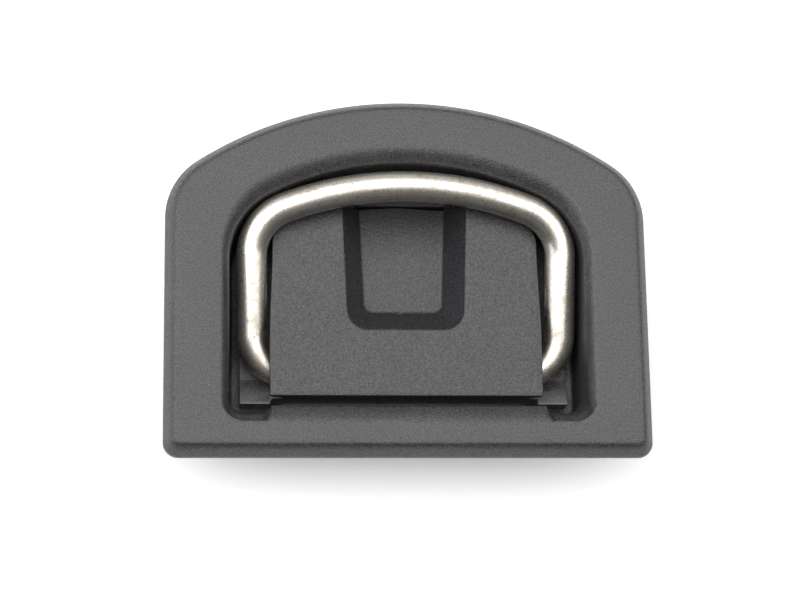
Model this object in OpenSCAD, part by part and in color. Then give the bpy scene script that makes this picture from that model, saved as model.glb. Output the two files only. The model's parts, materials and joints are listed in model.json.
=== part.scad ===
// Flush pad eye: a folding ring in a moulded surround that is let into a deck.
// Frame: millimetres. z = 0 is the deck plane under the flange, +Z points out of the deck,
// +Y points to the arched end and x = 0 is the plane of symmetry.

/* [Surround] */
// Width of the surround
bezel_w = 95.4; // [90:0.1:110]
// Length of the surround, from its straight edge to the top of its arch
bezel_l = 72.2; // [70:0.1:80]
// Radius of the arched edge
arch_r = 74.5; // [65:0.5:90]
// Radius of the corners where the arch meets the sides
arch_corner_r = 14; // [8:0.5:18]
// Height of the flange above the deck
flange_h = 4.1; // [3:0.1:6]
// Inward slope of the flange's edge, from the deck to the face
edge_draft = 2.3; // [1:0.1:3]

/* [Well] */
// Width of the well between its side walls
well_w = 70; // [69:0.5:74]
// Distance from the middle to the well's wall at the arched end
well_top = 22.9; // [22:0.1:24]
// Distance from the middle to the well's wall at the straight edge
well_front = 26; // [25:0.1:27]
// Depth of the well's floor below the deck plane
well_depth = 14.45; // [14.45:0.05:16]
// Thickness of the moulded walls
wall = 2; // [1.6:0.1:3]
// Thickness of the moulded floor
floor_t = 1.8; // [1.6:0.1:3]
// Width of the soft slope round the well's rim
rim_slope = 2.6; // [2:0.1:3]

/* [Ring] */
// Diameter of the ring's wire
wire_d = 6; // [5:0.5:6]
// Length of the ring from its pivot to the top of its arch
ring_l = 37.2; // [36.9:0.1:37.3]
// Radius of the ring's arch at the wire's centre
ring_arch_r = 68.8; // [68.5:0.1:69]
// Radius of the ring's upper corners at the wire's centre
ring_corner_r = 10.2; // [10:0.1:10.3]
// Radius of the ring's lower bends at the wire's centre
ring_bend_r = 7.5; // [6.5:0.1:8]
// Slope of the folded ring, rising from its pivot
ring_slope = 15.3; // [15.2:0.1:15.5]
// Clearance between the ring and its bushes
ring_play = 0.05; // [0.02:0.01:0.1]

/* [Cover] */
// Width of the cover
cover_w = 54; // [50:0.1:55]
// Height of the cover's face below the flange's face
cover_drop = 7.2; // [7:0.1:7.3]
// Thickness of the cover
cover_t = 1.6; // [1.4:0.1:2]
// Depth of the finger scoop below the cover's face
scoop_depth = 7.4; // [6:0.1:8]
// Width of the finger scoop at the cover's face
scoop_w = 23.4; // [20:0.1:26]
// Width of the finger scoop's floor
scoop_floor_w = 16.6; // [14:0.1:18]

/* [Fixing] */
// Distance between the two deck bolts
bolt_gap = 40; // [38:0.5:42]
// Diameter of the holes for the deck bolts
bolt_hole_d = 6.5; // [5.5:0.1:6.6]
// Thickness of the steel anchor plate
anchor_t = 2; // [2:0.1:2.5]
// Width of each steel saddle
saddle_w = 8; // [6:0.5:9]
// Thickness of the saddles' strip
saddle_t = 1; // [0.8:0.1:1]
// Thickness of the bushes' walls
bush_t = 0.6; // [0.5:0.1:0.6]

/* [Hidden] */

$fn = 64;
eps = 0.01;
half_l = bezel_l / 2;
wire_r = wire_d / 2;

// heights
floor_z = -well_depth;
base_z = floor_z - floor_t;
anchor_z = floor_z + anchor_t;
cover_z = flange_h - cover_drop;
scoop_z = cover_z - scoop_depth;

// pivot of the ring
pivot_y = -17.3;
pivot_z = anchor_z + bush_t + ring_play + wire_r;
bush_r = wire_r + ring_play + bush_t;
saddle_x = 15;

// centres of the ring's curves in its own plane; the arch ends along a 44-117-125 direction
arch_end = [0.352, 0.936];
arch_c = [0, ring_l - ring_arch_r];
ring_corner = arch_c + (ring_arch_r - ring_corner_r) * arch_end;
leg_x = ring_corner[0] + ring_corner_r;

// gasket groove under the flange
groove_h = 1.2;
groove_in = 3.2;
groove_w = 4.4;

// cover's plan
cover_front = 23.1;
cover_top = 17.4;
cover_arch_r = ring_arch_r - 2.3;
cover_corner_r = 5.5;
cover_taper = 0.5;
relief_w = 2.6;
relief_rear = -9;
recess_depth = 0.7;
skirt_w = 53;
skirt_t = 1;
skirt_low = -9;
scoop_end = -9.7;
scoop_floor_end = -4.7;
scoop_flare = 0.8;
peg_r = 1.9;
peg_x = 18.5;
peg_y = 9.8;
front_peg_x = 5.2;
front_peg_y = -21.9;
front_peg_r = 1.1;

// bosses that stand on the well's floor
boss_r = 3.6;
boss_top = -7.2;
peg_reach = 4.6;
front_peg_reach = 2;
grommet_t = 0.9;
grommet_flange_t = 0.8;
buffer_x = 14;
buffer_y = 19.5;
buffer_r = 1.7;
buffer_top = -2.4;
buffer_stem_r = 0.9;
buffer_boss_r = 2.4;
buffer_boss_top = -5;

// anchor plate and the holes for its screws
plate_w = 53;
plate_front = -23;
plate_rear = 5.6;
pilot_r = 1.3;
screw_hole_r = 1.6;
anchor_head_r = 2.3;
block_head_r = 2.2;
seal_r = 6;
seal_t = 0.8;

// scooped pockets at the well's front corners
pocket_low = [30.6, -21, -4];
pocket_high = [31, -23.4, flange_h];
pocket_low_r = 4.4;
pocket_high_r = 6.6;

// pivot block
block_w = 65.4;
block_front = -23.5;
block_front_mid = -22.9;
trough_r = wire_r + 0.5;
foot_w = 5.9;
foot_crest = -23.2;
foot_toe = -18.1;
foot_rear = -12.5;
block_mid = -13.6;
block_rear = -8.6;
block_top = anchor_z + 3.1;
shelf_y = -21;
pad_w = 19;
web_w = 4.4;

// points of an arc, from angle a0 to a1
function arc(cx, cy, r, a0, a1, n = 10) =
    [for (i = [0 : n]) let (a = a0 + (a1 - a0) * i / n) [cx + r * cos(a), cy + r * sin(a)]];

// D outline: straight edge at y = -front, sides at x = +-w/2, arch of radius r rising to y = top
function d_points(w, front, top, r, corner, foot) =
    let (cy = top - r,
         kx = w / 2 - corner,
         ky = cy + sqrt((r - corner) * (r - corner) - kx * kx),
         a = atan2(ky - cy, kx))
    concat(arc(w / 2 - foot, -front + foot, foot, -90, 0, 6),
           arc(kx, ky, corner, 0, a, 8),
           arc(0, cy, r, a, 180 - a, 16),
           arc(-kx, ky, corner, 180 - a, 180, 8),
           arc(-w / 2 + foot, -front + foot, foot, 180, 270, 6));

module d_slab(w, front, top, r, corner, foot, z, h)
    translate([0, 0, z]) linear_extrude(h) polygon(d_points(w, front, top, r, corner, foot));

// outline of the surround, drawn in by an inset
module bezel_slab(inset, z, h)
    d_slab(bezel_w - 2 * inset, half_l - inset, half_l - inset, arch_r - inset,
           arch_corner_r - inset, max(3 - inset, 0.8), z, h);

// outline of the well, let out by a margin
module well_slab(out, z, h)
    d_slab(well_w + 2 * out, well_front + out, well_top + out, arch_r - half_l + well_top + out,
           15 + out, 3 + out, z, h);

module at_bolts() for (s = [-1, 1]) translate([s * bolt_gap / 2, 0, 0]) children();
module at_pegs() for (s = [-1, 1]) translate([s * peg_x, peg_y, 0]) children();
module at_front_pegs() for (s = [-1, 1]) translate([s * front_peg_x, front_peg_y, 0]) children();
module at_buffers() for (s = [-1, 1]) translate([s * buffer_x, buffer_y, 0]) children();
module tube(r, bore, z, h) translate([0, 0, z]) difference() {
    cylinder(r = r, h = h);
    translate([0, 0, -1]) cylinder(r = bore, h = h + 2);
}

// four countersunk screws that hold the anchor plate down
anchor_screw_at = [[-23.2, -8.4], [23.2, -8.4], [-13, 2.9], [13, 2.9]];
// two screws that hold the pivot block down
block_screw_at = [[-4.6, -11.1], [4.6, -11.1]];
module at_points(places) for (p = places) translate([p[0], p[1], 0]) children();

// pan head screw: the top of its head at z = 0, pointing down
module screw(head_r, head_h, shank_r, length) {
    difference() {
        translate([0, 0, -head_h]) cylinder(r = head_r, h = head_h);
        translate([0, 0, -head_h * 0.55]) cylinder(r = head_r * 0.45, h = head_h, $fn = 6);
    }
    translate([0, 0, -head_h - length]) cylinder(r = shank_r, h = length + eps);
}

// space under the finger scoop that the surround carries on beneath the ring
channel_w = scoop_floor_w + scoop_flare + 0.4;
channel_y = 17.8;

module bezel() color("#3a3b3d") difference() {
    union() {
        difference() {
            union() {
                hull() {
                    bezel_slab(0, 0, 0.6);
                    bezel_slab(edge_draft - 0.5, flange_h - 0.6, 0.1);
                    bezel_slab(edge_draft, flange_h - 0.1, 0.1);
                }
                well_slab(wall, base_z, well_depth + floor_t + eps);
            }
            well_slab(0, floor_z, well_depth + flange_h + 1);
            // soft slope round the rim
            hull() {
                well_slab(0, flange_h - rim_slope, 0.1);
                well_slab(rim_slope, flange_h, 1);
            }
            // a scooped pocket at each front corner
            for (s = [-1, 1]) hull() {
                translate([s * pocket_low[0], pocket_low[1], pocket_low[2]])
                    cylinder(r = pocket_low_r, h = 1, $fn = 32);
                translate([s * pocket_high[0], pocket_high[1], pocket_high[2]])
                    cylinder(r = pocket_high_r, h = 1, $fn = 32);
            }
            // gasket groove
            difference() {
                bezel_slab(groove_in, -1, groove_h + 1);
                bezel_slab(groove_in + groove_w, -2, groove_h + 4);
            }
        }
        // bosses for the cover's pegs and for the buffers
        at_pegs() translate([0, 0, floor_z - eps]) cylinder(r = boss_r, h = boss_top - floor_z);
        at_buffers() translate([0, 0, floor_z - eps])
            cylinder(r = buffer_boss_r, h = buffer_boss_top - floor_z);
        // floor of the finger channel, under the ring's arch
        translate([-channel_w / 2, channel_y, floor_z - eps])
            cube([channel_w, well_top - channel_y + 0.3, scoop_z - floor_z]);
    }
    at_bolts() translate([0, 0, base_z - 1]) cylinder(d = bolt_hole_d, h = floor_t + 2);
    at_bolts() translate([0, 0, floor_z - seal_t]) cylinder(r = seal_r + 0.1, h = 2);
    at_pegs() translate([0, 0, boss_top - 6]) cylinder(r = peg_r + grommet_t, h = 7);
    at_buffers() translate([0, 0, buffer_boss_top - 3]) cylinder(r = buffer_stem_r, h = 4);
    at_points(anchor_screw_at) translate([0, 0, base_z - 1]) cylinder(r = pilot_r, h = floor_t + 2);
    at_points(block_screw_at) translate([0, 0, base_z - 1]) cylinder(r = pilot_r, h = floor_t + 2);
}

module deck_gasket() color("#1d1d1f") difference() {
    bezel_slab(groove_in + 0.1, 0, groove_h);
    bezel_slab(groove_in + groove_w - 0.1, -1, groove_h + 2);
}

// round-cornered blank of the anchor plate
module plate_blank() {
    r = 3;
    for (x = [-1, 1] * (plate_w / 2 - r), y = [plate_front + r, plate_rear - r])
        translate([x, y, floor_z]) cylinder(r = r, h = anchor_t);
    translate([-plate_w / 2, plate_front + r, floor_z])
        cube([plate_w, plate_rear - plate_front - 2 * r, anchor_t]);
    translate([-plate_w / 2 + r, plate_front, floor_z])
        cube([plate_w - 2 * r, plate_rear - plate_front, anchor_t]);
}

module anchor_plate() color("#b9bcc0") difference() {
    plate_blank();
    at_bolts() translate([0, 0, floor_z - 1]) cylinder(d = bolt_hole_d, h = anchor_t + 2);
    at_points(anchor_screw_at) translate([0, 0, floor_z - 1]) cylinder(r = screw_hole_r, h = anchor_t + 2);
    at_points(block_screw_at) translate([0, 0, floor_z - 1]) cylinder(r = screw_hole_r, h = anchor_t + 2);
    // slots that the saddles' front tabs hook into
    for (s = [-1, 1])
        translate([s * saddle_x - saddle_w / 2 - 0.1, front_tab_y - saddle_t - 0.05, floor_z - 1])
            cube([saddle_w + 0.2, saddle_t + 0.1, anchor_t + 2]);
    at_points(rivet_at) translate([0, 0, floor_z - 1]) cylinder(r = rivet_r, h = anchor_t + 2);
}

module anchor_screws() color("#c4c6c8") at_points(anchor_screw_at)
    translate([0, 0, anchor_z + 1.4]) screw(anchor_head_r, 1.4, pilot_r, anchor_t + floor_t - 0.2);

module bolt_seals() color("#1d1d1f") at_bolts() tube(seal_r, bolt_hole_d / 2 + 0.3, floor_z - seal_t, seal_t);

// saddle: a strip bent over the bush, hooked into the plate in front and riveted behind
front_tab_y = pivot_y - bush_r;
foot_y = pivot_y + bush_r + saddle_t;
foot_l = 6.2;
rivet_r = 1.5;
rivet_at = [[-saddle_x, foot_y + foot_l / 2 + 0.2], [saddle_x, foot_y + foot_l / 2 + 0.2]];

module saddle(x) translate([x - saddle_w / 2, 0, 0]) difference() {
    union() {
        translate([0, pivot_y, pivot_z]) rotate([0, 90, 0]) cylinder(r = bush_r + saddle_t, h = saddle_w);
        translate([0, front_tab_y - saddle_t, floor_z + 0.2])
            cube([saddle_w, saddle_t, pivot_z - floor_z - 0.2]);
        translate([0, pivot_y + bush_r, anchor_z]) cube([saddle_w, saddle_t, pivot_z - anchor_z]);
        translate([0, pivot_y + bush_r, anchor_z]) cube([saddle_w, saddle_t + foot_l, saddle_t]);
    }
    translate([-1, pivot_y, pivot_z]) rotate([0, 90, 0]) cylinder(r = bush_r, h = saddle_w + 2);
    translate([-1, pivot_y - bush_r, floor_z - 1]) cube([saddle_w + 2, 2 * bush_r, pivot_z - floor_z + 1]);
    translate([saddle_w / 2, rivet_at[0][1], anchor_z - 1]) cylinder(r = rivet_r, h = saddle_t + 2);
}
module left_saddle() color("#b0b3b7") saddle(-saddle_x);
module right_saddle() color("#b0b3b7") saddle(saddle_x);

module saddle_rivets() color("#a9acb0") at_points(rivet_at) {
    translate([0, 0, floor_z + 0.05]) cylinder(r = rivet_r, h = anchor_t + saddle_t);
    translate([0, 0, anchor_z + saddle_t]) intersection() {
        cylinder(r = 2.9, h = 1.3);
        translate([0, 0, -2.2]) sphere(r = 3.5);
    }
}

module bush(x) translate([x - saddle_w / 2 - 0.4, pivot_y, pivot_z]) rotate([0, 90, 0]) difference() {
    cylinder(r = bush_r, h = saddle_w + 0.8);
    translate([0, 0, -1]) cylinder(r = wire_r + ring_play, h = saddle_w + 3);
}
module left_bush() color("#e4e2da") bush(-saddle_x);
module right_bush() color("#e4e2da") bush(saddle_x);

// End of the pivot block: it stands on the well's floor beside the anchor plate, shows beside the cover and
// slopes down under the ring
module block_foot() translate([block_w / 2 - foot_w, 0, 0]) rotate([90, 0, 90]) linear_extrude(foot_w)
    polygon([[block_front, floor_z], [block_front, block_top], [foot_crest, block_top],
             [foot_toe, pivot_z - trough_r], [foot_rear, pivot_z - trough_r], [foot_rear, floor_z]]);

module pivot_block() color("#303133") difference() {
    union() {
        for (s = [0, 1]) mirror([s, 0, 0]) block_foot();
        // front rail between them
        translate([foot_w - block_w / 2 - eps, block_front_mid, anchor_z])
            cube([block_w - 2 * foot_w + 2 * eps, shelf_y - block_front_mid, block_top - anchor_z]);
        // webs under the bar, and the pad for the screws behind it
        for (s = [-1, 1]) translate([s * (pad_w - web_w) / 2 - web_w / 2, shelf_y - eps, anchor_z])
            cube([web_w, block_mid - shelf_y + 1, block_top - anchor_z]);
        translate([-pad_w / 2, block_mid, anchor_z])
            cube([pad_w, block_rear - block_mid, block_top - anchor_z]);
    }
    translate([-block_w / 2 - 1, pivot_y, pivot_z]) rotate([0, 90, 0]) cylinder(r = trough_r, h = block_w + 2);
    for (s = [-1, 1])
        translate([s * saddle_x - saddle_w / 2 - 0.5, front_tab_y - saddle_t - 0.35, anchor_z - 1])
            cube([saddle_w + 1, 4, 10]);
    at_points(block_screw_at) translate([0, 0, anchor_z - 1]) cylinder(r = screw_hole_r, h = 8);
    at_points(block_screw_at) translate([0, 0, block_top - 1.5]) cylinder(r = block_head_r + 0.1, h = 4);
    at_front_pegs() translate([0, 0, anchor_z + 0.6]) cylinder(r = front_peg_r + 0.08, h = 8);
}

module block_screws() color("#c4c6c8") at_points(block_screw_at)
    translate([0, 0, block_top - 0.2]) screw(block_head_r, 1.3, pilot_r, block_top - 1.5 - base_z - 0.3);

// ring: a closed loop of wire in its own plane, with its pivot bar along X through the pivot
module bend(r, centre, from, to) translate([centre[0], centre[1], 0]) intersection() {
    rotate_extrude($fn = 96) translate([r, 0]) circle(r = wire_r, $fn = 48);
    translate([0, 0, -wire_d]) linear_extrude(2 * wire_d)
        polygon([[0, 0], from * 100, (from + to) * 100, to * 100]);
}

module ring() color("#c9c4b8") translate([0, pivot_y, pivot_z]) rotate([ring_slope, 0, 0]) union() {
    translate([-leg_x + ring_bend_r, 0, 0]) rotate([0, 90, 0])
        cylinder(r = wire_r, h = 2 * (leg_x - ring_bend_r), $fn = 48);
    for (s = [0, 1]) mirror([s, 0, 0]) {
        bend(ring_bend_r, [leg_x - ring_bend_r, ring_bend_r], [0, -1], [1, 0]);
        translate([leg_x, ring_bend_r, 0]) rotate([-90, 0, 0])
            cylinder(r = wire_r, h = ring_corner[1] - ring_bend_r, $fn = 48);
        bend(ring_corner_r, ring_corner, [1, 0], arch_end);
    }
    bend(ring_arch_r, arch_c, arch_end, [-arch_end[0], arch_end[1]]);
}

// cover: a thin plate with a finger scoop that opens towards the ring's arch
module cover_plan(z, h) translate([0, 0, z]) linear_extrude(h) intersection() {
    polygon(d_points(cover_w, cover_front, cover_top, cover_arch_r, cover_corner_r, 0.4));
    polygon([[-cover_w / 2, -30], [cover_w / 2, -30], [cover_w / 2, -12],
             [cover_w / 2 - cover_taper, 8], [cover_w / 2 - cover_taper - 0.4, 20],
             [-cover_w / 2 + cover_taper + 0.4, 20], [-cover_w / 2 + cover_taper, 8], [-cover_w / 2, -12]]);
}

// tapered basin: wide at the cover's face, narrow at the floor, let out by a margin
module scoop_form(out, low) hull() {
    rim = [scoop_w / 2, scoop_end, 4.2];
    foot = [scoop_floor_w / 2 - scoop_flare / 2, scoop_floor_end, 2];
    for (s = [-1, 1]) {
        translate([s * (rim[0] - rim[2]), rim[1] + rim[2], cover_z])
            cylinder(r = rim[2] + out, h = eps, $fn = 32);
        translate([s * (foot[0] - foot[2]), foot[1] + foot[2], low])
            cylinder(r = foot[2] + out, h = eps, $fn = 32);
    }
    translate([-scoop_w / 2 - scoop_flare - out, 18, cover_z])
        cube([scoop_w + 2 * (scoop_flare + out), 6, eps]);
    translate([-scoop_floor_w / 2 - scoop_flare / 2 - out, 18, low])
        cube([scoop_floor_w + scoop_flare + 2 * out, 6, eps]);
}

module cover() color("#3f4042") difference() {
    union() {
        difference() {
            union() {
                cover_plan(cover_z - cover_t, cover_t);
                intersection() {
                    scoop_form(1.2, scoop_z - cover_t + 0.2);
                    cover_plan(scoop_z - 4, scoop_depth + 4);
                }
            }
            scoop_form(0, scoop_z);
        }
        // skirt that closes the gap in front of the saddles
        translate([-skirt_w / 2, -cover_front, skirt_low]) cube([skirt_w, skirt_t, cover_z - 1 - skirt_low]);
        at_pegs() translate([0, 0, boss_top - peg_reach])
            cylinder(r = peg_r, h = cover_z - 1 - boss_top + peg_reach);
        at_front_pegs() translate([0, 0, block_top - front_peg_reach])
            cylinder(r = front_peg_r, h = cover_z - 1 - block_top + front_peg_reach);
    }
    // recesses over the saddles
    for (s = [-1, 1]) translate([s * saddle_x - saddle_w / 2 - 0.6, pivot_y - 3, cover_z - cover_t - 1])
        cube([saddle_w + 1.2, 6, recess_depth + 1]);
    // relief under the side edges, so that the ring's bends can swing up
    for (s = [0, 1]) mirror([s, 0, 0]) translate([0, relief_rear, 0]) rotate([90, 0, 0])
        linear_extrude(cover_front + relief_rear + 1)
            polygon([[cover_w / 2 + 1, cover_z - cover_t / 2 + 0.1], [cover_w / 2, cover_z - cover_t / 2],
                     [cover_w / 2 - relief_w, cover_z - cover_t],
                     [cover_w / 2 - relief_w, cover_z - 2 * cover_t],
                     [cover_w / 2 + 1, cover_z - 2 * cover_t]]);
}

module grommet(x) translate([x, peg_y, 0]) {
    tube(peg_r + grommet_t, peg_r + 0.03, boss_top - 5.4, 5.4 + eps);
    tube(boss_r - 0.2, peg_r + 0.03, boss_top, grommet_flange_t);
}
module left_grommet() color("#1d1d1f") grommet(-peg_x);
module right_grommet() color("#1d1d1f") grommet(peg_x);

module buffer(x) translate([x, buffer_y, 0]) {
    translate([0, 0, buffer_boss_top]) cylinder(r = buffer_r, h = buffer_top - buffer_boss_top);
    translate([0, 0, buffer_boss_top - 2.8]) cylinder(r = buffer_stem_r - 0.02, h = 2.8 + eps);
}
module left_buffer() color("#1d1d1f") buffer(-buffer_x);
module right_buffer() color("#1d1d1f") buffer(buffer_x);

bezel();
deck_gasket();
anchor_plate();
anchor_screws();
bolt_seals();
pivot_block();
block_screws();
left_saddle();
right_saddle();
saddle_rivets();
left_bush();
right_bush();
ring();
cover();
left_grommet();
right_grommet();
left_buffer();
right_buffer();
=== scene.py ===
"""Looks of a flush pad eye: a folding wire ring in a D-shaped moulded well with a scooped cover."""

import json
import math

import bmesh
import bpy
from mathutils import Matrix, Vector


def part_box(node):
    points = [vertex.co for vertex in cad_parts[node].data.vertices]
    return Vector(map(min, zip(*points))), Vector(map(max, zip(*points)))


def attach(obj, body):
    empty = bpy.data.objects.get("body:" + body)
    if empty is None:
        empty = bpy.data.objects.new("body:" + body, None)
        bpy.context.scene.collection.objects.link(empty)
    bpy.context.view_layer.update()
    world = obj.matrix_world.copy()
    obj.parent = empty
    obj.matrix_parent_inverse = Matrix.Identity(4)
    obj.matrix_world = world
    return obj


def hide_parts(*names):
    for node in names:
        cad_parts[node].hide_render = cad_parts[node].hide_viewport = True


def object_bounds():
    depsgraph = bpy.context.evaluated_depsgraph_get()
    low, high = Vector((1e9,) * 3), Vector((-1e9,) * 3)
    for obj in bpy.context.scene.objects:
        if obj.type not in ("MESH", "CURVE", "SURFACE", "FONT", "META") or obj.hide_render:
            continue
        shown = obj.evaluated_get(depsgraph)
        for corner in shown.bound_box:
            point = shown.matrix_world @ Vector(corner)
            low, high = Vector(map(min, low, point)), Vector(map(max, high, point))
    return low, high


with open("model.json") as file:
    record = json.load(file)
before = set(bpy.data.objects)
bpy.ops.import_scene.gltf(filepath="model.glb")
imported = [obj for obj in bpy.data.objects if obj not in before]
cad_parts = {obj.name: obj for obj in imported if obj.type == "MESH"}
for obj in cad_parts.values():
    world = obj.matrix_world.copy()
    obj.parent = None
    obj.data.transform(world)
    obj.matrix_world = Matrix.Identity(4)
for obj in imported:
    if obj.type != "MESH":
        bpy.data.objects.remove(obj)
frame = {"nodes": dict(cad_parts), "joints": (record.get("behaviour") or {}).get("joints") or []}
CAD_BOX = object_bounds()
MM = 0.001

# ---------------------------------------------------------------- sizes, in millimetres and degrees
LOW, HIGH = (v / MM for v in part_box("bezel"))
HALF_W, HALF_L, FACE_Z, BASE_Z = HIGH.x, HIGH.y, HIGH.z, LOW.z
ARCH_R = 74.5
CORNER_R = 14.0
FOOT_R = 3.0

WELL_W = 35.0
WELL_TOP = 22.9
WELL_FRONT = 26.0
WELL_CORNER_R = 15.0
WELL_FOOT_R = 3.0
WELL_WALL = 2.0
WELL_ARCH_R = ARCH_R - HALF_L + WELL_TOP
WELL_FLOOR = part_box("anchor_plate")[0].z / MM
POCKET_X = (27.1, 29.2)
POCKET_Y = (-16.0, -23.0)
POCKET_DEEP, POCKET_LEAN = 3.6, 0.3

# the slope from the face into the well: its widths, its depth, and how it curves
RIM_SIDE, RIM_ARCH, RIM_FRONT = 1.9, 3.6, 4.4
RIM_DEPTH, RIM_CURVE, RIM_REACH = 1.75, 1.9, 0.93
RIM_STEPS = 8

GROOVE_IN, GROOVE_W, GROOVE_H = 3.2, 4.4, 1.2

PIVOT = Vector((0, frame["joints"][0]["pos_m"][1] / MM, frame["joints"][0]["pos_m"][2] / MM))
WIRE_R = 3.0
RING_L = 37.2
RING_ARCH_R = 68.8
RING_CORNER_R = 10.2
RING_BEND_R = 7.5
RING_SLOPE = math.radians(15.3)
RING_SIDEWAYS = 0.25
ARCH_END = Vector((44 / 125, 117 / 125))

COVER_LOW, COVER_HIGH = (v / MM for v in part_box("cover"))
HALF_COVER = -COVER_LOW.x
COVER_Z = COVER_HIGH.z
COVER_T = 1.6
COVER_TOP = 17.4
COVER_ARCH_R = RING_ARCH_R - 2.3
COVER_CORNER_R = 5.5
COVER_TAPER = 0.5
COVER_FOOT_R = 0.4
SKIRT_HALF_W, SKIRT_T, SKIRT_LOW = 26.5, 1.0, -9.0
SCOOP_W, SCOOP_FLOOR_W, SCOOP_DEPTH = 23.4, 16.6, 7.4
SCOOP_END, SCOOP_FLOOR_END, SCOOP_FLARE = -9.7, -4.7, 0.8
BLOCK_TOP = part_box("pivot_block")[1].z / MM
SADDLE_X, SADDLE_W = 15.0, 8.0

BOLTS = [(-20.0, 0.0), (20.0, 0.0)]
BOLT_R, SEAL_R, SEAL_T = 3.25, 6.0, 0.8
SCREWS = [(-23.2, -8.4), (23.2, -8.4), (-13.0, 2.9), (13.0, 2.9), (-4.6, -11.1), (4.6, -11.1)]
PILOT_R = 1.3
PEGS = [(-18.5, 9.8), (18.5, 9.8)]
PEG_R, BOSS_R, BOSS_TOP, GROMMET_T = 1.9, 3.6, -7.2, 0.9
FRONT_PEGS = [(-5.2, -21.9), (5.2, -21.9)]
FRONT_PEG_R = 1.1
BUFFERS = [(-14.0, 19.5), (14.0, 19.5)]
BUFFER_BOSS_R, BUFFER_BOSS_TOP, BUFFER_STEM_R = 2.4, -5.0, 0.9
CHANNEL_HALF_W, CHANNEL_Y = 8.9, 17.8
EJECTORS = [(x, y) for x in (-28, 28) for y in (-19, 9)]
EJECTOR_R, EJECTOR_DEEP = 2.2, 0.12

DARKER_FROM_Z, DARKEST_AT_Z = -5.0, -8.5
FLOOR_HALF, FLOOR_GAP, FLOOR_GLOW = 1500, 0.2, 0.28
CAMERA_TARGET, CAMERA_DISTANCE = Vector((-1.45, -4.48, 0)), 448.9
CAMERA_AZIMUTH, CAMERA_ELEVATION, CAMERA_ROLL = 19.8, 75.12, -0.885
CAMERA_SENSOR, CAMERA_LENS = 36, 102.5


# ---------------------------------------------------------------- small helpers
def mix(a, b, t):
    return a + (b - a) * t


def smooth(a, b, x):
    t = min(max((x - a) / (b - a), 0.0), 1.0)
    return t * t * (3 - 2 * t)


def arc(cx, cy, r, a0, a1, n):
    """n points of an arc, its last one left out."""
    turn = [math.radians(mix(a0, a1, i / n)) for i in range(n)]
    return [(cx + r * math.cos(a), cy + r * math.sin(a)) for a in turn]


def line(p, q, n):
    return [(mix(p[0], q[0], i / n), mix(p[1], q[1], i / n)) for i in range(n)]


def bezier(points, n):
    """n + 1 points of a quadratic or cubic curve."""
    def at(ps, t):
        while len(ps) > 1:
            ps = [tuple(mix(a, b, t) for a, b in zip(p, q)) for p, q in zip(ps, ps[1:])]
        return ps[0]
    return [at(points, i / n) for i in range(n + 1)]


def d_loop(half_w, front, top, r, corner, foot):
    """A closed D outline, anticlockwise from the middle of its straight edge."""
    n_front, n_foot, n_side, n_corner, n_arch = 60, 8, 28, 20, 40
    cy = top - r
    kx = half_w - corner
    ky = cy + math.sqrt((r - corner) ** 2 - kx * kx)
    a = math.degrees(math.atan2(ky - cy, kx))
    right = line((0, -front), (half_w - foot, -front), n_front)
    right += arc(half_w - foot, -front + foot, foot, -90, 0, n_foot)
    right += line((half_w, -front + foot), (half_w, ky), n_side)
    right += arc(kx, ky, corner, 0, a, n_corner)
    right += arc(0, cy, r, a, 90, n_arch)
    left = [(-x, y) for x, y in right[1:]][::-1]
    return right + [(0, top)] + left


def new_object(name, bm):
    mesh = bpy.data.meshes.new(name)
    bm.to_mesh(mesh)
    bm.free()
    piece = bpy.data.objects.new(name, mesh)
    bpy.context.scene.collection.objects.link(piece)
    return piece


def shade(piece, degrees=32):
    mesh = piece.data
    mesh.polygons.foreach_set("use_smooth", [True] * len(mesh.polygons))
    mesh.set_sharp_from_angle(angle=math.radians(degrees))
    mesh.update()


def loft(loops):
    """A closed skin through loops of the same number of (x, y, z) points in millimetres."""
    bm = bmesh.new()
    rows = [[bm.verts.new(Vector(p) * MM) for p in loop] for loop in loops]
    n = len(rows[0])
    for a, b in zip(rows, rows[1:]):
        for i in range(n):
            j = (i + 1) % n
            bm.faces.new((a[i], a[j], b[j], b[i]))
    bm.faces.new(rows[0][::-1])
    bm.faces.new(rows[-1])
    bmesh.ops.recalc_face_normals(bm, faces=bm.faces)
    return bm


def cylinder(r, z0, z1, x, y, segments=48, r_top=None):
    bm = bmesh.new()
    top = r if r_top is None else r_top
    bmesh.ops.create_cone(bm, cap_ends=True, segments=segments, radius1=r * MM, radius2=top * MM,
                          depth=(z1 - z0) * MM, matrix=Matrix.Translation(Vector((x, y, (z0 + z1) / 2)) * MM))
    return bm


def prism(outline, axis, a, b):
    """A prism: an outline drawn across the "y" or "z" axis, from a to b along it."""
    place = {"y": lambda p, t: (p[0], t, p[1]), "z": lambda p, t: (p[0], p[1], t)}[axis]
    return loft([[place(p, t) for p in outline] for t in (a, b)])


def block(low, high):
    outline = [(low[0], low[1]), (high[0], low[1]), (high[0], high[1]), (low[0], high[1])]
    return prism(outline, "z", low[2], high[2])


def boss(r, z0, z1, x, y):
    """A round boss whose top edge is rounded over."""
    edge, segments = 0.3, 48
    rings = [(r, z0), (r, z1 - edge), (r - 0.3 * edge, z1 - 0.3 * edge), (r - edge, z1)]
    turn = [2 * math.pi * k / segments for k in range(segments)]
    return loft([[(x + q * math.cos(a), y + q * math.sin(a), z) for a in turn] for q, z in rings])


def joined(parts):
    """One mesh of several that don't touch."""
    whole = bmesh.new()
    for bm in parts:
        mesh = bpy.data.meshes.new("part")
        bm.to_mesh(mesh)
        bm.free()
        whole.from_mesh(mesh)
        bpy.data.meshes.remove(mesh)
    return whole


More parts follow.
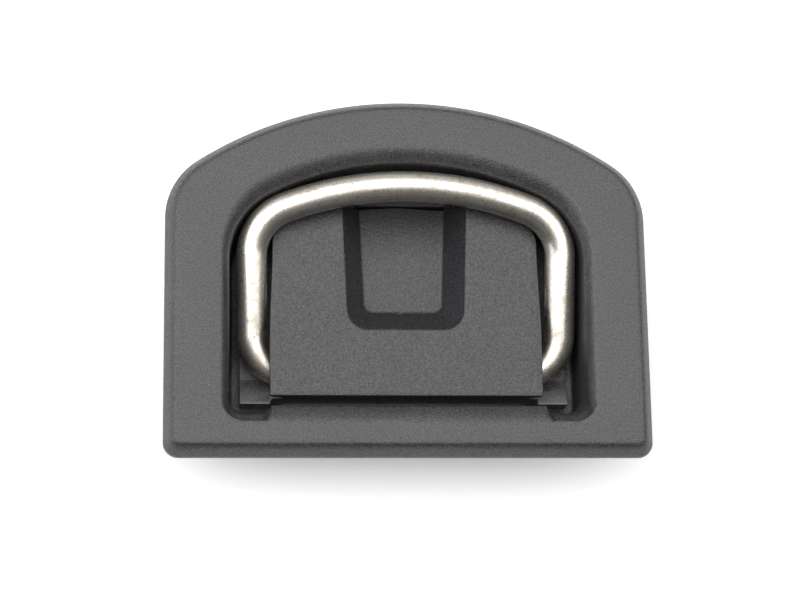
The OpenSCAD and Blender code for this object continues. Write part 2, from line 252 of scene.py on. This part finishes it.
def boolean(piece, how, *parts):
    """Adds to or cuts from a piece some shapes that don't touch each other."""
    tool = new_object("tool", joined(parts))
    change = piece.modifiers.new("cut", "BOOLEAN")
    change.operation = how
    change.solver = "EXACT"
    change.object = tool
    apply_modifiers(piece)
    bpy.data.objects.remove(tool)


def apply_modifiers(piece):
    bpy.context.view_layer.update()
    graph = bpy.context.evaluated_depsgraph_get()
    mesh = bpy.data.meshes.new_from_object(piece.evaluated_get(graph))
    piece.modifiers.clear()
    piece.data = mesh


# ---------------------------------------------------------------- surround
def surround_loop(inset, z):
    loop = d_loop(HALF_W - inset, HALF_L - inset, HALF_L - inset, ARCH_R - inset,
                  CORNER_R - inset, max(FOOT_R - 0.8 * inset, 0.8))
    return [(x, y, z) for x, y in loop]


def well_loop(side, front, top, z, pocket=0.0):
    """The well's outline let out by a margin on each side, with the front corners drawn out by pocket."""
    out = (side + top) / 2
    loop = d_loop(WELL_W + side, WELL_FRONT + front, WELL_TOP + top, WELL_ARCH_R + top,
                  WELL_CORNER_R + out, WELL_FOOT_R + min(side, front))
    points = []
    for x, y in loop:
        short = min(max((POCKET_X[1] - abs(x)) / (POCKET_X[1] - POCKET_X[0]), 0), 1)
        deep = pocket * math.sqrt(1 - short * short) * smooth(*POCKET_Y, y)
        points.append((x, y - deep, z))
    return points


def make_bezel():
    flange = [(GROOVE_IN + GROOVE_W, 0.0), (GROOVE_IN + GROOVE_W, GROOVE_H), (GROOVE_IN, GROOVE_H),
              (GROOVE_IN, 0.0), (0.25, 0.0), (0.08, 0.06), (0.0, 0.2), (0.02, 0.7)]
    flange += bezier([(0.1, 1.1), (0.95, 2.6), (1.55, FACE_Z - 0.1), (2.5, FACE_Z)], 12)
    flange += [(3.2, FACE_Z)]
    # rows of the rim: out on the sides, at the front and at the arch, depth below the face, pockets' reach
    rim = []
    for i in range(RIM_STEPS + 1):
        t = i / RIM_STEPS
        left_over = 1 - RIM_REACH * t
        front = RIM_FRONT * left_over
        pocket = max(0.0, POCKET_DEEP - POCKET_LEAN * t - front)
        rim.append((RIM_SIDE * left_over, front, RIM_ARCH * left_over, RIM_DEPTH * t ** RIM_CURVE, pocket))
    rim += [(0.06, 0.1, 0.08, 2.1, POCKET_DEEP - 0.75), (0.02, 0.0, 0.0, 2.7, POCKET_DEEP - 1.4)]
    lower = ((3.6, 1.6), (5.5, 1.25), (7.2, 0.9), (8.6, 0.45), (10.0, 0.0))
    rim += [(0.0, 0.0, 0.0, down, pocket) for down, pocket in lower]
    depth = FACE_Z - WELL_FLOOR
    floor = [(0.0, depth - 1.0), (-0.15, depth - 0.45), (-0.5, depth - 0.12), (-1.0, depth)]
    base = [(WELL_WALL, 0.0), (WELL_WALL, BASE_Z + 1.2), (WELL_WALL - 0.2, BASE_Z + 0.5),
            (WELL_WALL - 0.6, BASE_Z + 0.12), (WELL_WALL - 1.2, BASE_Z)]
    loops = [well_loop(m, m, m, z) for m, z in base[::-1]]
    loops += [surround_loop(inset, z) for inset, z in flange]
    loops += [well_loop(side, front, top, FACE_Z - down, pocket) for side, front, top, down, pocket in rim]
    loops += [well_loop(m, m, m, FACE_Z - down) for m, down in floor]
    piece = new_object("bezel_shell", loft(loops))
    under = WELL_FLOOR - 0.3
    bosses = [boss(BOSS_R, under, BOSS_TOP, x, y) for x, y in PEGS]
    bosses += [boss(BUFFER_BOSS_R, under, BUFFER_BOSS_TOP, x, y) for x, y in BUFFERS]
    boolean(piece, "UNION", *bosses)
    boolean(piece, "UNION", block((-CHANNEL_HALF_W, CHANNEL_Y, under),
                                  (CHANNEL_HALF_W, WELL_TOP + 0.3, COVER_Z - SCOOP_DEPTH)))
    holes = [cylinder(BOLT_R, BASE_Z - 1, WELL_FLOOR - SEAL_T - 0.2, x, y) for x, y in BOLTS]
    holes += [cylinder(PILOT_R, BASE_Z - 1, WELL_FLOOR + 1, x, y, 24) for x, y in SCREWS]
    holes += [cylinder(PEG_R + GROMMET_T, BOSS_TOP - 6, BOSS_TOP + 1, x, y) for x, y in PEGS]
    holes += [cylinder(BUFFER_STEM_R, BUFFER_BOSS_TOP - 3, BUFFER_BOSS_TOP + 1, x, y, 24) for x, y in BUFFERS]
    # shallow marks of the mould's ejector pins on the back
    holes += [cylinder(EJECTOR_R, BASE_Z - 1, BASE_Z + EJECTOR_DEEP, x, y) for x, y in EJECTORS]
    boolean(piece, "DIFFERENCE", *holes)
    boolean(piece, "DIFFERENCE", *[cylinder(SEAL_R + 0.1, WELL_FLOOR - SEAL_T, WELL_FLOOR + 1, x, y)
                                   for x, y in BOLTS])
    boolean(piece, "DIFFERENCE", *[cylinder(BOLT_R, BASE_Z + 0.4, WELL_FLOOR + 1, x, y) for x, y in BOLTS])
    shade(piece)
    return piece


# ---------------------------------------------------------------- cover
# points along a row of the cover: down a side, round a corner and along the end
N_SIDE, N_CORNER, N_FRONT = 60, 16, 24


def cover_limit(x):
    """Height of the cover's arched edge at x, with its rounded corners."""
    cy = COVER_TOP - COVER_ARCH_R
    kx = HALF_COVER - COVER_CORNER_R
    ky = cy + math.sqrt((COVER_ARCH_R - COVER_CORNER_R) ** 2 - kx * kx)
    touch = kx + COVER_CORNER_R * kx / (COVER_ARCH_R - COVER_CORNER_R)
    if abs(x) <= touch:
        return cy + math.sqrt(COVER_ARCH_R ** 2 - x * x)
    across = min(abs(x) - kx, COVER_CORNER_R)
    return ky + math.sqrt(max(COVER_CORNER_R ** 2 - across * across, 0.0))


def u_row(half_w, end, corner, top_half_w):
    """A row of a U-shaped strip: from the arched edge down the left side, round the end and up the right."""
    foot = (-half_w, end + corner)
    head = (-top_half_w, cover_limit(-top_half_w))
    left = line(head, foot, N_SIDE)
    left += arc(-half_w + corner, end + corner, corner, 180, 270, N_CORNER)
    front = line((-half_w + corner, end), (0, end), N_FRONT // 2)
    half = left + front
    return half + [(0, end)] + [(-x, y) for x, y in half[::-1]]


def outer_row(inset):
    """The cover's outside edge as a U: down the rounded left side, round the square corner, up the right."""
    kx = HALF_COVER - COVER_CORNER_R
    cy = COVER_TOP - COVER_ARCH_R
    ky = cy + math.sqrt((COVER_ARCH_R - COVER_CORNER_R) ** 2 - kx * kx)
    a = math.degrees(math.atan2(ky - cy, kx))
    r = COVER_CORNER_R - inset
    n_arc = N_SIDE // 2
    foot_x = -HALF_COVER + COVER_FOOT_R
    foot_y = COVER_LOW.y + COVER_FOOT_R
    shift = 0.3 * inset
    left = arc(-kx, ky, r, 180 - a, 180, n_arc)
    left += line((-kx - r, ky), (-HALF_COVER + inset, foot_y), N_SIDE - n_arc)
    left += arc(foot_x + shift, foot_y + shift, COVER_FOOT_R - 0.7 * inset, 180, 270, N_CORNER)
    front = line((foot_x + inset, COVER_LOW.y + inset), (0, COVER_LOW.y + inset), N_FRONT // 2)
    half = left + front + [(0, COVER_LOW.y + inset)]
    half = [(x + COVER_TAPER * smooth(-12, 8, y) * min(1, -x / HALF_COVER), y) for x, y in half]
    return half + [(-x, y) for x, y in half[:-1][::-1]]


def make_cover():
    floor_z = COVER_Z - SCOOP_DEPTH
    half_floor, half_rim = SCOOP_FLOOR_W / 2, SCOOP_W / 2
    rows = []

    def scoop_row(t, z, grow=0.0):
        half_w = mix(half_floor - SCOOP_FLARE / 2, half_rim, t) + grow
        end = mix(SCOOP_FLOOR_END, SCOOP_END, t) - grow
        corner = mix(2.0, 4.2, t) + grow
        top_half = mix(half_floor + SCOOP_FLARE / 2, half_rim + SCOOP_FLARE, t) + grow
        rows.append([(x, y, z) for x, y in u_row(half_w, end, corner, top_half)])

    spine = u_row(0.6, SCOOP_FLOOR_END + 6.0, 0.3, 0.6)
    rows.append([(x, y, floor_z) for x, y in spine])
    inside = ((half_floor * 0.5, SCOOP_FLOOR_END + 3.2, 1.0), (half_floor - 1.3, SCOOP_FLOOR_END + 0.9, 1.5))
    for half_w, end, corner in inside:
        rows.append([(x, y, floor_z) for x, y in u_row(half_w, end, corner, half_w)])
    for t, up in bezier([(-0.12, 0.0), (0.02, 0.0), (0.06, 0.5), (0.1, 0.85)], 5):
        scoop_row(t, floor_z + up)
    for t in (0.3, 0.5, 0.7, 0.86):
        scoop_row(t, mix(floor_z + 0.85, COVER_Z - 0.75, (t - 0.1) / 0.8))
    for t, down in bezier([(0.93, -0.6), (0.97, -0.18), (1.0, -0.02), (1.07, 0.0)], 6):
        scoop_row(t, COVER_Z + down)
    edge = outer_row(0.3)
    last = rows[-1]
    for k in (0.2, 0.45, 0.7, 0.9):
        row = [(mix(p[0], q[0], k), mix(p[1], q[1], k), COVER_Z) for p, q in zip(last, edge)]
        short = cover_limit(row[0][0]) - row[0][1]
        n = len(row)
        pull = [short * max(0, 1 - min(i, n - 1 - i) / 20) for i in range(n)]
        rows.append([(x, y + up, z) for (x, y, z), up in zip(row, pull)])
    for inset, z in ((0.3, COVER_Z), (0.12, COVER_Z - 0.05), (0.03, COVER_Z - 0.16), (0.0, COVER_Z - 0.3)):
        rows.append([(x, y, z) for x, y in outer_row(inset)])
    rows.append([(x, y, COVER_Z - COVER_T) for x, y in outer_row(0.02)])
    wall = half_rim + 1.1
    inner = [(x, y, COVER_Z - COVER_T) for x, y in u_row(wall, SCOOP_END - 1.1, 5.0, wall)]
    rows.append([(mix(p[0], q[0], 0.5), mix(p[1], q[1], 0.5), p[2]) for p, q in zip(rows[-1], inner)])
    scoop_row(0.97, COVER_Z - COVER_T, 0.9)
    scoop_row(0.5, mix(floor_z, COVER_Z, 0.5) - 0.5, 0.95)
    scoop_row(0.06, floor_z - 1.0, 1.0)
    scoop_row(-0.02, floor_z - 1.4, 0.6)
    rows.append([(x, y, floor_z - 1.4) for x, y in spine])

    bm = bmesh.new()
    grid = [[bm.verts.new(Vector(p) * MM) for p in row] for row in rows]
    n = len(grid[0])
    for a, b in zip(grid, grid[1:]):
        for i in range(n - 1):
            bm.faces.new((a[i], b[i], b[i + 1], a[i + 1]))
    # close the floor's middle, above and below, and the cut edge towards the arch
    for row in (grid[0], grid[-1]):
        for i in range(n // 2):
            j = n - 1 - i
            if j - i < 2:
                break
            quad = [row[i], row[i + 1], row[j - 1], row[j]]
            bm.faces.new(list(dict.fromkeys(quad)))
    left = [row[0] for row in grid]
    right = [row[-1] for row in grid]
    bm.faces.new(left + right[::-1])
    bmesh.ops.remove_doubles(bm, verts=bm.verts, dist=1e-7)
    bmesh.ops.recalc_face_normals(bm, faces=bm.faces)
    piece = new_object("cover_shell", bm)
    pegs = [cylinder(PEG_R, BOSS_TOP - 4.2, COVER_Z - 1, x, y) for x, y in PEGS]
    pegs += [cylinder(FRONT_PEG_R, BLOCK_TOP - 2, COVER_Z - 1, x, y) for x, y in FRONT_PEGS]
    boolean(piece, "UNION", *pegs)
    boolean(piece, "UNION", *[cylinder(PEG_R - 0.5, BOSS_TOP - 4.6, BOSS_TOP - 4.2, x, y, r_top=PEG_R)
                              for x, y in PEGS])
    boolean(piece, "UNION", block((-SKIRT_HALF_W, COVER_LOW.y, SKIRT_LOW),
                                  (SKIRT_HALF_W, COVER_LOW.y + SKIRT_T, COVER_Z - 1)))
    under = COVER_Z - COVER_T
    boolean(piece, "DIFFERENCE", *[block((s * SADDLE_X - SADDLE_W / 2 - 0.6, PIVOT.y - 3, under - 1),
                                         (s * SADDLE_X + SADDLE_W / 2 + 0.6, PIVOT.y + 3, under + 0.7))
                                   for s in (-1, 1)])
    relief = [(HALF_COVER + 1, under + 0.9), (HALF_COVER, under + 0.8), (HALF_COVER - 2.6, under),
              (HALF_COVER - 2.6, under - 1.4), (HALF_COVER + 1, under - 1.4)]
    boolean(piece, "DIFFERENCE", *[prism([(s * x, z) for x, z in relief], "y", -24, -9) for s in (-1, 1)])
    shade(piece)
    return piece


# ---------------------------------------------------------------- ring
def ring_path():
    """Points of the ring's centre line in its own plane, from the middle of its pivot bar."""
    step = 0.35
    cy = RING_L - RING_ARCH_R
    corner = Vector((0, cy)) + (RING_ARCH_R - RING_CORNER_R) * ARCH_END
    leg_x = corner.x + RING_CORNER_R
    a = math.degrees(math.atan2(ARCH_END.y, ARCH_END.x))
    bend = RING_BEND_R

    def count(length):
        return max(4, round(length / step))
    half = line((0, 0), (leg_x - bend, 0), count(leg_x - bend))
    half += arc(leg_x - bend, bend, bend, -90, 0, count(bend * math.pi / 2))
    half += line((leg_x, bend), (leg_x, corner.y), count(corner.y - bend))
    half += arc(corner.x, corner.y, RING_CORNER_R, 0, a, count(RING_CORNER_R * math.radians(a)))
    half += arc(0, cy, RING_ARCH_R, a, 90, count(RING_ARCH_R * math.radians(90 - a)))
    return half + [(0, RING_L)] + [(-x, y) for x, y in half[1:]][::-1]


def make_ring():
    segments = 48
    path = [Vector(p) for p in ring_path()]
    n = len(path)
    turn = Matrix.Rotation(RING_SLOPE, 3, "X")
    bm = bmesh.new()
    uv_layer = bm.loops.layers.uv.new("along_wire")
    rows, along, total = [], [], 0.0
    for i, p in enumerate(path):
        t = (path[(i + 1) % n] - path[i - 1]).normalized()
        normal = Vector((t.y, -t.x, 0))
        centre = Vector((p.x + RING_SIDEWAYS, p.y, 0))
        row = []
        for k in range(segments):
            a = 2 * math.pi * k / segments
            spot = centre + WIRE_R * (math.cos(a) * normal + math.sin(a) * Vector((0, 0, 1)))
            row.append(bm.verts.new((turn @ spot + PIVOT) * MM))
        rows.append(row)
        along.append(total)
        total += (path[(i + 1) % n] - p).length
    along.append(total)
    for i in range(n):
        a, b = rows[i], rows[(i + 1) % n]
        for k in range(segments):
            j = (k + 1) % segments
            face = bm.faces.new((a[k], a[j], b[j], b[k]))
            face.smooth = True
            here, ahead = along[i], along[i + 1]
            v0, v1 = k / segments, (k + 1) / segments
            spots = [(here, v0), (here, v1), (ahead, v1), (ahead, v0)]
            for corner, (u, v) in zip(face.loops, spots):
                corner[uv_layer].uv = (u / total, v)
    bmesh.ops.recalc_face_normals(bm, faces=bm.faces)
    return new_object("ring_wire", bm)


# ---------------------------------------------------------------- materials
def material(name, base, metallic=0.0, roughness=0.5):
    mat = bpy.data.materials.new(name)
    mat.use_nodes = True
    shader = mat.node_tree.nodes["Principled BSDF"]
    shader.inputs["Base Color"].default_value = (*base, 1)
    shader.inputs["Metallic"].default_value = metallic
    shader.inputs["Roughness"].default_value = roughness
    return mat, mat.node_tree, shader


def add(tree, kind, **values):
    node = tree.nodes.new(kind)
    for key, value in values.items():
        setattr(node, key, value)
    return node


def noise(tree, source, scale, detail=3.0, rough=0.5, stretch=None):
    """Noise over a vector, in repeats per metre, or per unit of a UV map."""
    vector = source
    if stretch is not None:
        mapping = add(tree, "ShaderNodeMapping")
        mapping.inputs["Scale"].default_value = stretch
        tree.links.new(source, mapping.inputs["Vector"])
        vector = mapping.outputs["Vector"]
    node = add(tree, "ShaderNodeTexNoise")
    node.inputs["Scale"].default_value = scale
    node.inputs["Detail"].default_value = detail
    node.inputs["Roughness"].default_value = rough
    tree.links.new(vector, node.inputs["Vector"])
    return node.outputs["Fac"]


def ramp(tree, source, stops):
    """A ramp from a value to colours or greys: stops of (position, colour)."""
    node = add(tree, "ShaderNodeValToRGB")
    while len(node.color_ramp.elements) < len(stops):
        node.color_ramp.elements.new(0.5)
    for element, (at, colour) in zip(node.color_ramp.elements, stops):
        element.position = at
        element.color = (*colour, 1) if isinstance(colour, tuple) else (colour, colour, colour, 1)
    tree.links.new(source, node.inputs["Fac"])
    return node.outputs["Color"]


def blend_colours(tree, kind, amount, a, b):
    node = add(tree, "ShaderNodeMix", data_type="RGBA", blend_type=kind)
    if isinstance(amount, float):
        node.inputs[0].default_value = amount
    else:
        tree.links.new(amount, node.inputs[0])
    tree.links.new(a, node.inputs[6])
    tree.links.new(b, node.inputs[7])
    return node.outputs[2]


def bump(tree, height, strength, distance, below=None):
    node = add(tree, "ShaderNodeBump")
    node.inputs["Strength"].default_value = strength
    node.inputs["Distance"].default_value = distance
    tree.links.new(height, node.inputs["Height"])
    if below is not None:
        tree.links.new(below, node.inputs["Normal"])
    return node.outputs["Normal"]


def place_of(tree):
    return add(tree, "ShaderNodeTexCoord").outputs["Object"]


def grained_plastic(name, dark, light, worn, roughness=(0.38, 0.56), grain=0.4, specular=0.8):
    """Spark-eroded grain on moulded plastic, with faint handling marks and paler rubbed edges."""
    mat, tree, shader = material(name, light)
    at = place_of(tree)
    fine = noise(tree, at, 4400, 2.0, 0.6)
    coarse = noise(tree, at, 1700, 2.0, 0.65)
    broad = noise(tree, at, 55, 4.0, 0.6)
    colour = ramp(tree, fine, [(0.41, dark), (0.6, light)])
    patches = ramp(tree, broad, [(0.3, 0.8), (0.7, 1.0)])
    colour = blend_colours(tree, "MULTIPLY", 1.0, colour, patches)
    edge = add(tree, "ShaderNodeNewGeometry").outputs["Pointiness"]
    rubbed = ramp(tree, edge, [(0.53, 0.0), (0.6, 0.4)])
    colour = blend_colours(tree, "MIX", rubbed, colour, ramp(tree, broad, [(0.0, worn), (1.0, worn)]))
    tree.links.new(colour, shader.inputs["Base Color"])
    gloss = ramp(tree, coarse, [(0.32, roughness[0]), (0.68, roughness[1])])
    tree.links.new(gloss, shader.inputs["Roughness"])
    normal = bump(tree, coarse, grain, 0.0002)
    tree.links.new(bump(tree, fine, grain, 0.00014, normal), shader.inputs["Normal"])
    shader.inputs["Specular IOR Level"].default_value = specular
    return mat


def wire_steel(name):
    """Polished drawn stainless wire: fine lines along it, worn patches, and a browner, darker colour towards
    the bottom.
    """
    mat, tree, shader = material(name, (0.8, 0.76, 0.7), metallic=1.0, roughness=0.3)
    along = add(tree, "ShaderNodeUVMap", uv_map="along_wire").outputs["UV"]
    at = place_of(tree)
    lines = noise(tree, along, 1.0, 3.0, 0.6, (22, 150, 1))
    hair = noise(tree, along, 1.0, 2.0, 0.5, (40, 420, 1))
    blotch = noise(tree, at, 330, 5.0, 0.7)
    pits = noise(tree, at, 1300, 3.0, 0.65)
    tones = [(0.32, (0.6, 0.52, 0.41)), (0.46, (0.8, 0.75, 0.66)), (0.7, (0.92, 0.89, 0.84))]
    colour = ramp(tree, blotch, tones)
    colour = blend_colours(tree, "MULTIPLY", 1.0, colour, ramp(tree, lines, [(0.32, 0.72), (0.56, 1.0)]))
    colour = blend_colours(tree, "MULTIPLY", 0.7, colour, ramp(tree, pits, [(0.3, 0.4), (0.42, 1.0)]))
    # browner and darker towards the bottom, and wrinkled low down where the wire was bent
    height = add(tree, "ShaderNodeSeparateXYZ")
    tree.links.new(at, height.inputs["Vector"])
    low = add(tree, "ShaderNodeMapRange")
    tree.links.new(height.outputs["Z"], low.inputs["Value"])
    low.inputs["From Min"].default_value = DARKER_FROM_Z * MM
    low.inputs["From Max"].default_value = DARKEST_AT_Z * MM
    low_darkening = add(tree, "ShaderNodeMath", operation="MULTIPLY")
    tree.links.new(low.outputs["Result"], low_darkening.inputs[0])
    tree.links.new(ramp(tree, noise(tree, at, 420, 4.0, 0.7), [(0.4, 0.0), (0.6, 0.85)]), low_darkening.inputs[1])
    brown = ramp(tree, pits, [(0.3, (0.12, 0.095, 0.065)), (0.7, (0.42, 0.35, 0.26))])
    colour = blend_colours(tree, "MIX", low_darkening.outputs["Value"], colour, brown)
    tree.links.new(colour, shader.inputs["Base Color"])
    tree.links.new(ramp(tree, blotch, [(0.3, 0.33), (0.5, 0.28), (0.75, 0.24)]), shader.inputs["Roughness"])
    normal = bump(tree, hair, 0.12, 0.00004)
    normal = bump(tree, pits, 0.12, 0.00005, normal)
    wrinkle = add(tree, "ShaderNodeMath", operation="MULTIPLY")
    tree.links.new(low.outputs["Result"], wrinkle.inputs[0])
    tree.links.new(noise(tree, along, 1.0, 4.0, 0.7, (420, 34, 1)), wrinkle.inputs[1])
    normal = bump(tree, wrinkle.outputs["Value"], 0.6, 0.0004, normal)
    tree.links.new(bump(tree, blotch, 0.05, 0.0001, normal), shader.inputs["Normal"])
    shader.inputs["Anisotropic"].default_value = 0.75
    shader.inputs["Anisotropic Rotation"].default_value = 0.25
    grainwise = add(tree, "ShaderNodeTangent", direction_type="UV_MAP", uv_map="along_wire")
    tree.links.new(grainwise.outputs["Tangent"], shader.inputs["Tangent"])
    return mat


def sheet_steel(name, tone, brushed=(1, 1, 1)):
    """Zinc-plated or stainless steel: cloudy plating with fine brush lines and small pits."""
    bright, cloudy = 0.28, 0.46
    mat, tree, shader = material(name, tone, metallic=1.0, roughness=bright)
    at = place_of(tree)
    cloud = noise(tree, at, 160, 5.0, 0.6)
    brush = noise(tree, at, 420, 3.0, 0.6, brushed)
    pits = noise(tree, at, 1900, 2.0, 0.5)
    dull = tuple(0.7 * c for c in tone)
    colour = ramp(tree, cloud, [(0.3, dull), (0.68, tone)])
    colour = blend_colours(tree, "MULTIPLY", 0.7, colour, ramp(tree, brush, [(0.35, 0.72), (0.6, 1.0)]))
    tree.links.new(colour, shader.inputs["Base Color"])
    tree.links.new(ramp(tree, cloud, [(0.3, cloudy), (0.7, bright)]), shader.inputs["Roughness"])
    normal = bump(tree, brush, 0.15, 0.00006)
    tree.links.new(bump(tree, pits, 0.15, 0.00004, normal), shader.inputs["Normal"])
    return mat


def soft_rubber(name):
    """Black rubber with a dusty bloom and a fine matt skin."""
    mat, tree, shader = material(name, (0.02, 0.02, 0.021), roughness=0.75)
    at = place_of(tree)
    bloom = noise(tree, at, 240, 5.0, 0.7)
    skin = noise(tree, at, 2600, 2.0, 0.6)
    tree.links.new(ramp(tree, bloom, [(0.35, (0.014, 0.014, 0.015)), (0.75, (0.04, 0.04, 0.041))]),
                   shader.inputs["Base Color"])
    tree.links.new(ramp(tree, skin, [(0.3, 0.62), (0.7, 0.88)]), shader.inputs["Roughness"])
    tree.links.new(bump(tree, skin, 0.3, 0.00006), shader.inputs["Normal"])
    return mat


def set_material(piece, mat):
    piece.data.materials.clear()
    piece.data.materials.append(mat)


# ---------------------------------------------------------------- scene
def add_area(name, at, aim, size, power):
    lamp = bpy.data.lights.new(name, "AREA")
    lamp.shape = "RECTANGLE"
    lamp.size, lamp.size_y = size
    lamp.energy = power
    rig = bpy.data.objects.new(name, lamp)
    bpy.context.scene.collection.objects.link(rig)
    rig.location = at
    rig.rotation_euler = (Vector(aim) - Vector(at)).to_track_quat("-Z", "Y").to_euler()


def make_camera():
    azimuth, elevation, roll = map(math.radians, (CAMERA_AZIMUTH, CAMERA_ELEVATION, CAMERA_ROLL))
    level = math.cos(elevation)
    away = Vector((-math.sin(azimuth) * level, -math.cos(azimuth) * level, math.sin(elevation)))
    side = Vector((0, 1, 0)).cross(away).normalized()
    up = away.cross(side)
    right = math.cos(roll) * side + math.sin(roll) * up
    up = away.cross(right)
    data = bpy.data.cameras.new("camera")
    data.sensor_width = CAMERA_SENSOR
    data.lens = CAMERA_LENS
    data.clip_start = 0.01
    camera = bpy.data.objects.new("camera", data)
    bpy.context.scene.collection.objects.link(camera)
    turn = Matrix((right, up, away)).transposed().to_4x4()
    camera.matrix_world = Matrix.Translation((CAMERA_TARGET + away * CAMERA_DISTANCE) * MM) @ turn
    bpy.context.scene.camera = camera


def make_stage():
    bm = bmesh.new()
    half = FLOOR_HALF * MM
    z = CAD_BOX[0][2] - FLOOR_GAP * MM
    bm.faces.new([bm.verts.new((x * half, y * half, z)) for x, y in ((-1, -1), (1, -1), (1, 1), (-1, 1))])
    floor = new_object("floor", bm)
    mat, tree, shader = material("floor_white", (0.88, 0.88, 0.88), roughness=0.8)
    # clear from below, so that the back can be looked at
    under = add(tree, "ShaderNodeNewGeometry").outputs["Backfacing"]
    clear = add(tree, "ShaderNodeBsdfTransparent")
    choice = add(tree, "ShaderNodeMixShader")
    tree.links.new(under, choice.inputs[0])
    tree.links.new(shader.outputs[0], choice.inputs[1])
    tree.links.new(clear.outputs[0], choice.inputs[2])
    tree.links.new(choice.outputs[0], tree.nodes["Material Output"].inputs["Surface"])
    shader.inputs["Emission Color"].default_value = (1, 1, 1, 1)
    shader.inputs["Emission Strength"].default_value = FLOOR_GLOW
    set_material(floor, mat)


def detailed(node, body, mat, bevel, degrees=30):
    """A copy of a CAD node with its sharp edges rounded over, which stands for the node."""
    bm = bmesh.new()
    bm.from_mesh(frame["nodes"][node].data)
    bmesh.ops.remove_doubles(bm, verts=bm.verts, dist=1e-6)
    bmesh.ops.dissolve_limit(bm, angle_limit=math.radians(1), verts=bm.verts, edges=bm.edges)
    piece = new_object(node + "_piece", bm)
    change = piece.modifiers.new("edges", "BEVEL")
    change.width = bevel * MM
    change.segments = 2
    change.limit_method = "ANGLE"
    change.angle_limit = math.radians(degrees)
    apply_modifiers(piece)
    shade(piece, 20)
    set_material(piece, mat)
    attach(piece, body)
    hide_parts(node)


surround_plastic = grained_plastic("surround_grain", (0.001, 0.001, 0.0012), (0.056, 0.056, 0.062),
                                   (0.12, 0.125, 0.125))
cover_plastic = grained_plastic("cover_grain", (0.001, 0.001, 0.0012), (0.05, 0.049, 0.055), (0.1, 0.1, 0.1),
                                specular=0.72)
block_plastic = grained_plastic("block_grain", (0.03, 0.03, 0.0305), (0.18, 0.178, 0.18), (0.19, 0.19, 0.19),
                                (0.46, 0.6), 0.3)
bush_plastic = grained_plastic("bush_acetal", (0.7, 0.68, 0.62), (0.8, 0.78, 0.73), (0.85, 0.84, 0.8),
                               (0.32, 0.42), 0.08, 0.5)
ring_steel = wire_steel("wire_stainless")
plate_steel = sheet_steel("plate_brushed", (0.5, 0.5, 0.49), (0.12, 2.2, 1))
strap_steel = sheet_steel("saddle_brushed", (0.55, 0.54, 0.52), (2.2, 0.15, 0.15))
fastener_steel = sheet_steel("fastener_zinc", (0.6, 0.6, 0.58))
rubber = soft_rubber("black_rubber")

bezel = make_bezel()
cover = make_cover()
ring = make_ring()
for piece, node, body, slot, mat in ((bezel, "bezel", "surround", "surround_plastic", surround_plastic),
                                     (cover, "cover", "surround", "cover_plastic", cover_plastic),
                                     (ring, "ring", "ring", "ring_steel", ring_steel)):
    set_material(piece, mat)
    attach(piece, body)
    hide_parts(node)

detailed("pivot_block", "surround", block_plastic, 0.3)
detailed("anchor_plate", "surround", plate_steel, 0.15)
for side in ("left", "right"):
    detailed(side + "_saddle", "surround", strap_steel, 0.12)
    detailed(side + "_bush", "surround", bush_plastic, 0.08)
    detailed(side + "_grommet", "surround", rubber, 0.12)
    detailed(side + "_buffer", "surround", rubber, 0.25)
detailed("saddle_rivets", "surround", fastener_steel, 0.1, 40)
detailed("anchor_screws", "surround", fastener_steel, 0.15, 40)
detailed("block_screws", "surround", fastener_steel, 0.12, 40)
detailed("bolt_seals", "surround", rubber, 0.1)
detailed("deck_gasket", "surround", rubber, 0.15)

make_camera()
make_stage()
world = bpy.data.worlds.new("studio")
world.use_nodes = True
world.node_tree.nodes["Background"].inputs["Color"].default_value = (1, 1, 1, 1)
world.node_tree.nodes["Background"].inputs["Strength"].default_value = 0.12
bpy.context.scene.world = world
add_area("overhead", (0.15, 0.18, 0.75), (0.15, 0.18, 0), (2.6, 0.88), 16.0)
add_area("overhead_left", (-0.42, 0.18, 0.74), (-0.42, 0.18, 0), (0.9, 0.8), 1.6)
add_area("far_card", (0, 1.0, 0.5), (0, 0, 0.1), (2.4, 0.9), 2.5)
add_area("left_card", (-1.1, 0.1, 0.4), (0, 0, 0), (1.4, 0.7), 4.2)
bpy.context.scene.view_settings.view_transform = "Standard"
